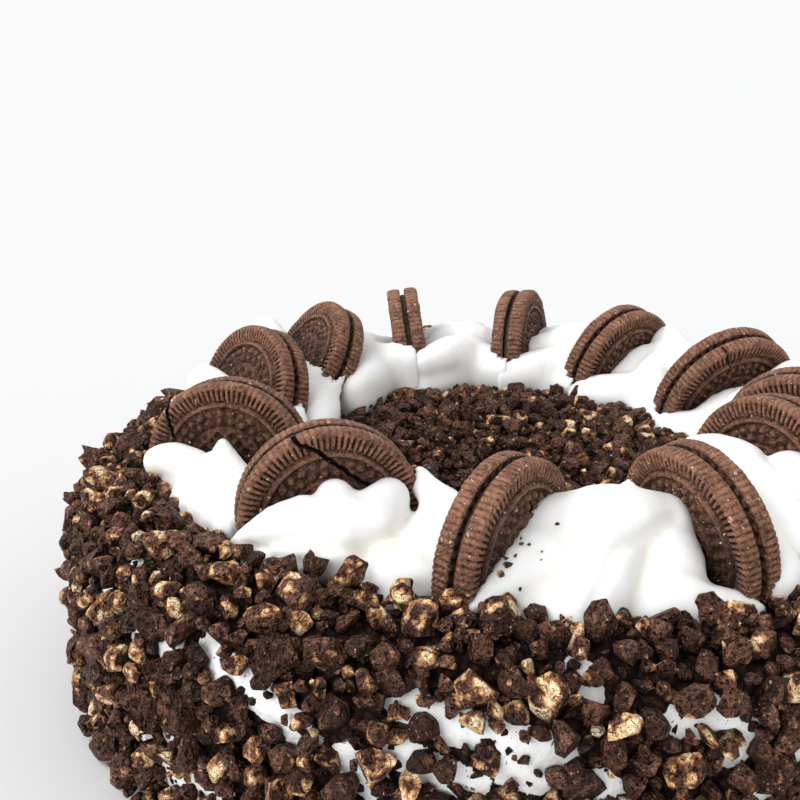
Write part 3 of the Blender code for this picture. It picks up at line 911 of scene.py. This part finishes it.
# Ropes of the dollops that the photo shows best: how softly each joins the others, then three points
# along the ring, outward and up from the dollop's middle at the crumbs' level, and the radius at each
DOLLOP_ROPES = {
    1: (
        (0.25, ((-31.5, 14, 3.8), (-27.5, 11, 5.6), (-21, 8, 4.4)), (4.4, 5.8, 5.4)),
        (0.25, ((-19.5, 0.2, 10.2), (-15, 2, 5.8), (-4, 3, 2.8)), (1.8, 5.4, 6.5)),
        (0.6, ((-14, 5, 4.8), (-20, 9, 2.5), (-26, 14.5, -0.6)), (6.2, 5, 1.8)),
        (0.25, ((-25, 14.5, -2.6), (-17, 13, -2.2), (-8, 11, -1.6)), (1.8, 4.8, 7.5)),
        (0.5, ((-6, 9, -1), (4, 8, 1), (12, 8, 2)), (8, 8, 7)),
        (2, ((-10, -12, 0), (0, -8, 2), (8, -6, 2)), (6, 7, 7)),
    ),
    10: (
        (0.25, ((12, -22, 12), (8, -14, 14.5), (4, -6, 14.5)), (5, 6.5, 7)),
        (1.5, ((2, -8, 13.5), (0, 2, 12), (-4, 12, 3)), (7.5, 9, 8.5)),
        (0.25, ((9, 4, 13.5), (6, 10, 9), (3, 15, 1)), (7, 8, 7.5)),
        (0.25, ((-13, 2, 8), (-14, 9, 5), (-15, 15, 0)), (7, 8, 7.5)),
        (2, ((-10, -14, 2), (0, -8, 4), (8, -10, 2)), (9, 10, 9)),
    ),
    11: (
        (0.25, ((-10, -4.5, 11.4), (2, -3.5, 13.2), (13.5, -3, 10)), (6.6, 8.2, 7.2)),
        (1, ((6.9, -8, 19.8), (6.7, -7.6, 17.8), (6.5, -7, 14)), (0.5, 1.8, 3.5)),
        (5, ((-14, -4, 9), (-17, 3, 5), (-20, 10, -1)), (7, 8.4, 8)),
        (2.5, ((-24, 4, 6), (-17, -2, 9), (-10.5, -8.5, 12)), (4.5, 6.5, 5.2)),
        (1.5, ((-36, 14, 4.6), (-28, 9, 5.6), (-19, 3, 7)), (1.4, 4.4, 8)),
        (6, ((0, -2, 9), (-6, 5, 5.5), (-13, 13, -2)), (9.4, 11.5, 10)),
        (1, ((6, 9, -5), (10, 6, 1), (13, 0, 7)), (12, 11, 7)),
        (2.5, ((4, 13.5, -2), (13, 14, -0.5), (26, 16, -3)), (6.5, 6.2, 3.5)),
        (3, ((-10, -13, 0), (0, -10, 4), (10, -12, 0)), (10, 12, 9)),
    ),
    12: (
        (0.25, ((-36.6, 11, 4.8), (-30, 10.5, 8.8), (-21, 6, 10.6)), (1.2, 4.5, 6.4)),
        (2, ((-22, 7, 9.5), (-14, 5, 9.5), (-6, 1, 8.5)), (5.5, 7.6, 7)),
        (2.5, ((-17.2, -1.6, 13.7), (-16, 0, 11), (-13, 3, 8)), (4.9, 6.5, 8)),
        (2.5, ((-7, -10, 11.9), (-7.4, -7, 10.6), (-9, -1, 8)), (5, 6, 8)),
        (0.25, ((-34.5, 11.8, 2.4), (-25, 12.2, 3.2), (-12, 9.5, 5.6)), (2.4, 4.4, 7.2)),
        (1.5, ((-16, 2, 1), (-4, 2, 2), (6, -2, 1)), (8.5, 9.2, 8)),
        (1.6, ((-1, 3, 9), (0.5, 6, 5), (2.5, 9, -2)), (0.8, 6.4, 9.6)),
        (0.25, ((-4, -20, 13.2), (5, -13, 12.2), (9.5, -8, 10)), (3, 3.9, 6.6)),
        (3.5, ((6, -10, 8), (8, -3, 6.8), (9, 4, 2)), (5.5, 7.6, 8.4)),
        (3, ((-8, -12, 0), (2, -8, 3), (10, -4, 2)), (6, 8, 8)),
    ),
}


# Crumbs

SHAPES = 14
RIDGED_SHAPES = 2
FINE_LEVEL = 4
CRUMB_SHARP = 36.0


def chunk_points(rng, points, ridged):
    """A ball's points pushed into a broken chunk: flat breaks, a bite and a rough surface."""
    seed = int(rng.integers(1000))
    points = points * rng.uniform((1.00, 0.72, 0.58), (1.25, 0.92, 0.80))
    points = points * (1.0 + 0.13 * soft_noise(points, 0.8, seed))[:, None]
    for _ in range(int(rng.integers(8, 13))):
        normal = unit(rng.normal(size=3))
        depth = rng.uniform(0.50, 0.80) * np.max(points @ normal)
        points = points - np.maximum(points @ normal - depth, 0.0)[:, None] * normal
    for _ in range(2):
        spot = unit(rng.normal(size=3)) * rng.uniform(0.95, 1.2)
        bite = rng.uniform(0.35, 0.6)
        away = points - spot
        far = np.linalg.norm(away, axis=1)
        points = np.where((far < bite)[:, None], spot + away / far[:, None] * bite, points)
    points = points * (1.0 + 0.11 * soft_noise(points, 0.45, seed + 1))[:, None]
    if ridged:
        top = smooth_step(0.1, 0.3, points[:, 2])
        points[:, 2] += 0.09 * top * np.sin(points[:, 0] * math.tau / 0.40)
    return points / np.max(np.linalg.norm(points, axis=1))


def chunk_shape(rng, faces, ridged):
    """Points and triangles of one chunk with about this many faces, its longest reach 1."""
    work = bmesh.new()
    bmesh.ops.create_icosphere(work, subdivisions=FINE_LEVEL, radius=1.0)
    ball = np.array([vertex.co for vertex in work.verts])
    for vertex, place in zip(work.verts, chunk_points(rng, ball, ridged)):
        vertex.co = place
    full = len(work.faces)
    mesh = bpy.data.meshes.new("chunk")
    work.to_mesh(mesh)
    work.free()
    coarse = modified(mesh, "DECIMATE", ratio=faces / full)
    triangles = [tuple(face.vertices) for face in coarse.polygons if len(face.vertices) == 3]
    return mesh_points(coarse), np.array(triangles)


class Heap:
    """Crumbs thrown one after the other, with those already lying near kept clear."""

    CELL = 9.0

    def __init__(self):
        self.cells = {}

    def key(self, place):
        return tuple(int(math.floor(value / self.CELL)) for value in place)

    def has_room(self, place, size, share):
        """Whether a crumb of this size fits here beside the others."""
        for cell in itertools.product(*((k - 1, k, k + 1) for k in self.key(place))):
            for other, other_size in self.cells.get(cell, ()):
                if math.dist(place, other) < share * (size + other_size):
                    return False
        return True

    def lay(self, place, size):
        self.cells.setdefault(self.key(place), []).append((place, size))


# Turns round the coat with the share of crumbs there that are soaked with cream, and that on the bed
TAN_TURNS = (0.0, 200.0, 270.0, 300.0)
TAN_OFTEN = (0.30, 0.38, 0.40, 0.16)
BED_TAN_OFTEN = 0.22

# Heights over the coat between which the painted shade on the crumbs near it fades out
DEEP_FROM = 0.2
DEEP_TO = 4.2

# Room that a crumb keeps from the gaps and from the ground, as a share of its size
GAP_ROOM = 0.23
GROUND_ROOM = 0.38

# The coat's radius, and where and how far it is heaped up near the outer rim of the top
COAT_RADIUS = 117.6
RIM_HUMP_MIDDLE = 100.0
RIM_HUMP_INWARD = 9.0
RIM_HUMP_OUTWARD = 14.0
RIM_HUMP_TURNS = (0, 60, 120, 170, 204, 218, 228, 262, 273, 284, 299, 320)
RIM_HUMPS = (4, 3, 4, 3.5, 3, 3.2, 7, 7.2, 6, 4.5, 1.2, 3)

# Travels up the side, over the shoulder, and in all as far in as RIM_INNER
SIDE_TRAVEL = CAKE_TOP - SHOULDER
BEND_TRAVEL = SHOULDER * math.pi / 2
RIM_INNER = 91.5
FULL_TRAVEL = SIDE_TRAVEL + BEND_TRAVEL + (COAT_RADIUS - SHOULDER - RIM_INNER)


def rim_hump(radius, turn):
    """How much the coat is heaped up near the outer rim of the top; turn in degrees."""
    away = radius - RIM_HUMP_MIDDLE
    share = np.where(away > 0.0, away / RIM_HUMP_OUTWARD, -away / RIM_HUMP_INWARD)
    return np.interp(turn, RIM_HUMP_TURNS, RIM_HUMPS, period=360.0) * (1.0 - smooth_step(0.1, 1.0, share))


def coat_point(turn, travel):
    """A point of the coat and its outward direction; travel runs up the side and inward over the top."""
    slope = min(max(travel - SIDE_TRAVEL, 0.0), BEND_TRAVEL) / SHOULDER
    inward = max(travel - SIDE_TRAVEL - BEND_TRAVEL, 0.0)
    radius = COAT_RADIUS - SHOULDER * (1.0 - math.cos(slope)) - inward
    height = min(travel, SIDE_TRAVEL) + SHOULDER * math.sin(slope) + float(rim_hump(radius, turn))
    turn = math.radians(turn)
    around = np.array([math.cos(turn), math.sin(turn)])
    return np.array([*radius * around, height]), np.array([*math.cos(slope) * around, math.sin(slope)])


# Gaps where the cream coat shows between the crumbs: half width, then angle and height along each
SEEN_GAPS = (
    (2, ((238, 54.6), (239.3, 51.3), (243.9, 50), (248.6, 45.6), (250.8, 42.2))),
    (1.2, ((261, 54.4), (262.6, 52.7), (267.8, 50.4), (273.3, 48), (276.1, 46.7))),
    (2, ((255.6, 39.6), (258.2, 34.8))),
    (1.5, ((288.2, 51), (291.4, 51.6), (293.7, 48.8), (295, 45.3), (294.1, 42.7))),
    (2.2, ((297.6, 31.7), (300.5, 35.3), (301.2, 37.2))),
    (1.8, ((231.1, 16.1), (235.7, 19.1), (239.6, 20.4))),
    (1.2, ((261.2, 43.4), (264.1, 40.8), (267.9, 38.3))), (2, ((272, 42.5), (274, 41))),
    (1.6, ((232.2, 52.5), (232.6, 49))), (1.3, ((227.2, 48.1), (226.6, 45.5))),
    (1.2, ((225.7, 57.9), (225.5, 56))), (1.2, ((218.3, 58), (217.6, 45.9))),
    (1.4, ((207.9, 35.5), (208.3, 32.5))), (1.4, ((225.9, 22.6), (226.6, 20.6))),
    (1.3, ((231, 29.5), (231.9, 27.5))), (1.2, ((225.2, 35), (224.6, 32))),
    (1, ((278.5, 60.7), (279, 58))), (1.2, ((280.1, 38.9), (281.5, 38))),
)
SEEN_FROM = 203.0
SEEN_TO = 303.0
UNSEEN_GAPS = 26
GAP_SHARE = 0.40


def all_gaps():
    """The gaps that the photo shows, and others like them round the rest of the cake."""
    rng = np.random.default_rng(41)
    gaps = [(half * GAP_SHARE, np.array(line)) for half, line in SEEN_GAPS]
    while len(gaps) < len(SEEN_GAPS) + UNSEEN_GAPS:
        turn = rng.uniform(SEEN_TO + 4.0, SEEN_FROM + 354.0)
        place = np.array([turn, rng.uniform(12.0, 54.0)])
        line = [place]
        lean = rng.uniform(-1.0, 1.0)
        for _ in range(int(rng.integers(1, 4))):
            place = place + (rng.uniform(1.5, 2.6), lean * rng.uniform(1.0, 4.0))
            line.append(place)
        gaps.append((rng.uniform(1.1, 2.2) * GAP_SHARE, np.array(line)))
    return gaps


GAPS = all_gaps()


def gap_distance(turn, travel):
    """How far places on the coat lie outside the nearest gap, in millimetres; below 0 is inside."""
    best = np.full(len(turn), FAR)
    for half, line in GAPS:
        start = line[0, 0]
        path = (line - (start, 0.0)) * (math.radians(CAKE_RADIUS), 1.0)
        away = np.radians((turn - start + 180.0) % 360.0 - 180.0) * CAKE_RADIUS
        best = np.minimum(best, line_distance(np.c_[away, travel], path) - half)
    return best


def join_chunks(name, rng, shapes, chunks, material):
    """One piece of many chunks, each with its place, normal, rise off the coat, size and how tan it is."""
    parts = []
    total = 0
    for place, normal, rise, size, tan in chunks:
        points, faces = shapes[int(rng.integers(len(shapes)))]
        points = (points * rng.uniform(0.8, 1.12, 3)) @ random_turn(rng).T * size / 2
        # Painted shade on the parts of a chunk that lie low near the coat
        deep = 1.0 - smooth_step(DEEP_FROM, DEEP_TO, points @ normal + rise)
        points = points + place
        reach = radius_of(points)
        far = points[np.argmax(reach)] * (1.0, 1.0, 0.0)
        points = points - unit(far) * max(0.0, reach.max() - OUTER_REACH)
        points[:, 2] += max(0.0, LOWEST_CRUMB - points[:, 2].min())
        tone = np.full(len(points), rng.uniform() ** 1.3)
        parts.append((points, faces + total, tone, np.full(len(points), tan), deep))
        total += len(points)
    points, faces, *values = (np.concatenate(column) for column in zip(*parts))
    mesh = make_mesh(name, points, faces, dict(zip(("tone", "tan", "deep"), values)))
    mesh.set_sharp_from_angle(angle=math.radians(CRUMB_SHARP))
    add_piece(mesh, material)


def tan_share(rng, often):
    """How far a crumb is soaked with cream; this share of them are, and the others nearly plain."""
    return rng.uniform(0.35, 1.0) if rng.uniform() < often else rng.uniform(-0.7, 0.0)


def throw_on_coat(rng, heap, wanted, sizes, share, lift, tries, lowest):
    """Crumbs of a range of sizes laid on the coat, clear of each other and of the gaps."""
    chunks = []
    turns = rng.uniform(0.0, 360.0, tries)
    travels = rng.uniform(lowest, FULL_TRAVEL, tries)
    widths = rng.uniform(*sizes, tries)
    lifts = widths * rng.uniform(*lift, tries)
    clear = gap_distance(turns, travels) > GAP_ROOM * widths
    for turn, travel, size, rise in zip(turns[clear], travels[clear], widths[clear], lifts[clear]):
        if len(chunks) == wanted:
            break
        place, normal = coat_point(turn, travel)
        place = place + normal * rise
        place[2] = max(place[2], size * GROUND_ROOM)
        if heap.has_room(place, size, share):
            heap.lay(place, size)
            often = np.interp(turn, TAN_TURNS, TAN_OFTEN, period=360.0)
            chunks.append((place, normal, rise, size, tan_share(rng, often)))
    return chunks


def throw_on_bed(rng, heap, wanted, sizes, share, lift, tries):
    """Crumbs laid on the bed in the middle."""
    chunks = []
    for _ in range(tries):
        if len(chunks) == wanted:
            break
        radius = (BED_RADIUS + 3.0) * math.sqrt(rng.uniform())
        turn = rng.uniform(0.0, math.tau)
        size = rng.uniform(*sizes)
        rise = size * rng.uniform(*lift)
        place = np.array([radius * math.cos(turn), radius * math.sin(turn), bed_height(radius) + rise])
        if heap.has_room(place, size, share):
            heap.lay(place, size)
            chunks.append((place, UP, rise, size, tan_share(rng, BED_TAN_OFTEN)))
    return chunks


def bed_height(radius):
    """Height of the bed's core under its loose crumbs."""
    return FOOT_LEVEL + mix(3.6, 2.0, smooth_step(30.0, BED_RADIUS, np.asarray(radius, float)))


# Loose crumbs on the cream beside cookie 12: along the ring, outward, up, size and how tan
LOOSE_DOLLOP = 11
LOOSE = (
    (-27, 9, 11, 3.6, -0.6), (-29, 10.5, 10, 2.8, 0.6), (-25.5, 12.5, 7, 1.3, 0),
    (-25, 7.5, 12, 1.4, -0.6), (-20.5, -0.5, 14.5, 0.9, -0.6), (-21.5, 6, 13.5, 1.2, -0.6),
    (-20, 9.5, 11.5, 0.8, -0.6), (-19.5, 8.5, 13, 0.8, -0.6), (-14, 2.5, 16, 1.2, -0.6),
    (-27, 7, 11.5, 1.6, -0.6), (-22.5, 3.5, 14, 1, -0.6), (-23, 5, 13.5, 1.5, -0.6),
)

# Large crumbs that stand against the foot of the cream, in the same order of values. These and the
# loose ones rise this far off the coat, clear of its shade
CLEAR_RISE = 5.0
STANDING_DOLLOP = 12
STANDING = ((-11.5, 18.5, 7.5, 11, -0.6), (-4, 18.5, 8, 10.5, 0.4), (7.5, 17.5, 4, 9.5, 0.9))

# Places at the feet of cookies 12 and 11 that large crumbs leave free
FOOT_SPOTS = ((-6.0, -99.0, 63.0), (57.0, -83.0, 63.0))
FOOT_SIZE = 9.0


def placed_chunks(dollop, spots):
    """Crumbs at places beside a dollop, each with its place, normal, rise, size and how tan it is."""
    centre, axes = dollop_axes(dollop)
    return [(np.array(spot[:3]) @ axes + centre, UP, CLEAR_RISE, *spot[3:]) for spot in spots]


# Kinds of crumb on the coat: how many faces each crumb has, then the throws. A throw has the most
# crumbs that it lays, their sizes, the room that each keeps, their lift off the coat as a share of
# the size, how many tries there are, and how far up the coat it starts
COAT_CRUMBS = {
    "large": (240, ((400, (9, 14), 0.33, (0.16, 0.36), 12000, 0),)),
    "medium": (100, (
        (1050, (6, 9), 0.3, (0.1, 0.56), 26000, 0),
        (420, (6, 9), 0.3, (0.1, 0.56), 12000, SIDE_TRAVEL),
    )),
    "small": (36, (
        (1700, (3.2, 5.6), 0.27, (0, 0.9), 30000, 0),
        (700, (3.2, 5.6), 0.27, (0, 0.9), 14000, SIDE_TRAVEL),
    )),
    "fine": (16, ((1300, (1.2, 2.6), 0.3, (0, 2.2), 14000, 0),)),
}

# Throws of crumbs on the bed, in the same order of values
BED_CRUMBS = {
    "large": (100, (7, 11), 0.31, (0.16, 0.34), 4000),
    "medium": (320, (4.4, 7.2), 0.29, (0.1, 0.6), 6000),
    "small": (520, (2.4, 4.4), 0.27, (0, 1), 8000),
}


def make_crumbs(material):
    """All crumbs on the coat and on the bed."""
    rng = np.random.default_rng(2024)
    shapes = {}
    for kind, (faces, _) in COAT_CRUMBS.items():
        ridged = RIDGED_SHAPES if kind == "large" else 0
        shapes[kind] = [chunk_shape(rng, faces, k < ridged) for k in range(SHAPES)]
    coat, bed = Heap(), Heap()
    for spot in FOOT_SPOTS:
        coat.lay(np.array(spot), FOOT_SIZE)
    chunks = {"large": placed_chunks(STANDING_DOLLOP, STANDING)}
    for place, _, _, size, _ in chunks["large"]:
        coat.lay(place, size)
    for kind, (_, throws) in COAT_CRUMBS.items():
        for throw in throws:
            chunks.setdefault(kind, []).extend(throw_on_coat(rng, coat, *throw))
    for kind, laid in chunks.items():
        join_chunks(f"coat_crumbs_{kind}", rng, shapes[kind], laid, material)
    join_chunks("loose_crumbs", rng, shapes["small"], placed_chunks(LOOSE_DOLLOP, LOOSE), material)
    chunks = {kind: throw_on_bed(rng, bed, *throw) for kind, throw in BED_CRUMBS.items()}
    shapes["large"] = shapes["large"][RIDGED_SHAPES:]
    for kind, laid in chunks.items():
        join_chunks(f"bed_crumbs_{kind}", rng, shapes[kind], laid, material)


# The cake under its crumbs

COAT_STEPS = 440
BARE_BULGE = 0.8
BARE_RADIUS = 92.5

# Rings of the coat: at its foot with how far each is set in and its height, then the travels of those
# over the side and shoulder, and in the middle of the top with radius and how far each lies below it
COAT_FOOT = ((2.0, 0.0), (0.5, 0.8))
COAT_TRAVELS = np.arange(2.5, FULL_TRAVEL + 5.8, 1.8)
COAT_MIDDLE = ((85.0, 0.0), (60.0, 0.0), (40.0, 1.0), (10.0, 1.0))


def turned_surface(profile, steps, seed, relief):
    """A closed uneven turned shape; its profile runs from the foot to the top's middle."""
    angle = ring_angles(steps)
    rings = [np.c_[r * np.cos(angle), r * np.sin(angle), np.full(steps, height)] for r, height in profile]
    points = np.concatenate([[(0.0, 0.0, profile[0][1])], *rings, [(0.0, 0.0, profile[-1][1])]])
    swell = relief * (0.6 * soft_noise(points, 9.0, seed) + 0.4 * soft_noise(points, 4.0, seed + 1))
    swell[[0, -1]] = 0.0
    radius = np.maximum(radius_of(points), 1e-6)
    points[:, :2] *= 1.0 + (swell * (points[:, 2] > 1.0) / radius)[:, None]
    points[:, 2] -= np.abs(swell) * (points[:, 2] > profile[-1][1] - 1.5) * 0.6
    return points, turned_faces([steps] * len(profile))


def make_coat(material):
    """The cake's coat of cream, in place of the CAD cake."""
    profile = [(COAT_RADIUS - inset, height) for inset, height in COAT_FOOT]
    for travel in COAT_TRAVELS:
        radius, _, height = coat_point(0.0, travel)[0]
        profile.append((radius, height - float(rim_hump(radius, 0.0))))
    profile.extend((radius, CAKE_TOP - sunk) for radius, sunk in COAT_MIDDLE)
    points, faces = turned_surface(profile, COAT_STEPS, 5, 0.5)
    turn = np.degrees(np.arctan2(points[:, 1], points[:, 0]))
    radius = radius_of(points)
    points[:, 2] += rim_hump(radius, turn) * (points[:, 2] > CAKE_TOP - SHOULDER)
    travels = [*(height for _, height in COAT_FOOT), *COAT_TRAVELS, *[FAR] * len(COAT_MIDDLE)]
    travel = np.concatenate([[0.0], np.repeat(travels, COAT_STEPS), [FAR]])
    bare = 1.0 - smooth_step(2.2, 5.0, gap_distance(turn, travel))
    points[:, :2] *= 1.0 + (BARE_BULGE * bare / np.maximum(radius, 1.0))[:, None]
    bare = np.where((radius < BARE_RADIUS) & (points[:, 2] > CAKE_TOP / 2), 1.0, bare)
    mesh = make_mesh("cream_coat", points, faces, {"bare": bare})
    add_piece(mesh, material, ["cake_body"])


def make_bed(material):
    """The bed's packed core of fine crumbs, in place of the CAD bed."""
    radii = np.linspace(BED_RADIUS, 1.5, 30)
    profile = [(BED_RADIUS, FOOT_LEVEL), *((radius, float(bed_height(radius))) for radius in radii)]
    points, faces = turned_surface(profile, 150, 9, 0.0)
    lumps = 0.9 * soft_noise(points, 3.5, 7) + 0.5 * soft_noise(points, 1.6, 8)
    points[:, 2] += lumps * (points[:, 2] > CAKE_TOP + 1.0)
    tone = 0.35 + 0.3 * soft_noise(points, 5.0, 11)
    # Painted shade all over the bed's core, which lies under the loose crumbs
    values = {"tone": tone, "tan": tone * 0.0, "deep": np.full(len(points), 0.4)}
    mesh = make_mesh("bed_core", points, faces, values)
    add_piece(mesh, material, ["crumb_bed"])


# Stage, light and camera

FLOOR_REACH = 12000.0
WORLD_STRENGTH = 0.92

# The lights: azimuth, elevation, strength and softness
LIGHTS = {"key_left": (175.0, 48.0, 1.35, 26.0), "front": (238.0, 28.0, 1.25, 34.0)}


def make_stage():
    """A wide pale floor."""
    corners = [(x * FLOOR_REACH, y * FLOOR_REACH, 0) for x, y in ((-1, -1), (1, -1), (1, 1), (-1, 1))]
    floor = put("floor", make_mesh("floor", corners, [(0, 1, 2, 3)]))
    floor.data.materials.append(floor_material())


def toward(azimuth, elevation):
    """The direction with this azimuth and elevation, in degrees."""
    turn, rise = math.radians(azimuth), math.radians(elevation)
    return Vector((math.cos(turn) * math.cos(rise), math.sin(turn) * math.cos(rise), math.sin(rise)))


def add_sun(name, azimuth, elevation, strength, softness):
    """A soft light from far away, the same all over the floor."""
    light = bpy.data.lights.new(name, "SUN")
    light.energy = strength
    light.angle = math.radians(softness)
    put(name, light).rotation_euler = toward(azimuth, elevation).to_track_quat("Z", "Y").to_euler()


def make_lights():
    """A bright even surround, and the soft lights."""
    world = bpy.data.worlds.new("studio")
    world.use_nodes = True
    sockets = world.node_tree.nodes["Background"].inputs
    sockets["Color"].default_value = (1.0, 1.0, 1.0, 1.0)
    sockets["Strength"].default_value = WORLD_STRENGTH
    bpy.context.scene.world = world
    for name, values in LIGHTS.items():
        add_sun(name, *values)


def make_camera():
    """The photo's view."""
    camera = bpy.data.cameras.new("photo_view")
    camera.lens = CAMERA_LENS
    camera.sensor_width = CAMERA_SENSOR
    camera.clip_start = CAMERA_NEAR
    holder = put("photo_view", camera)
    holder.location = CAMERA_PLACE
    forward = toward(90.0 - CAMERA_TURN, -CAMERA_PITCH)
    holder.rotation_euler = forward.to_track_quat("-Z", "Y").to_euler()
    bpy.context.scene.camera = holder


def main():
    """Build the whole scene."""
    bpy.context.scene.view_settings.view_transform = "Standard"
    make_camera()
    make_stage()
    make_lights()
    crumb = crumb_material()
    wafer = wafer_material()
    filling = filling_material()
    cream = cream_material()
    make_crumbs(crumb)
    make_coat(coat_material())
    make_bed(crumb)
    for number in range(1, COOKIES + 1):
        make_filling(number, filling)
        make_wafer(number, 1, wafer)
        make_wafer(number, -1, wafer)
        make_dollop(number, cream)


main()
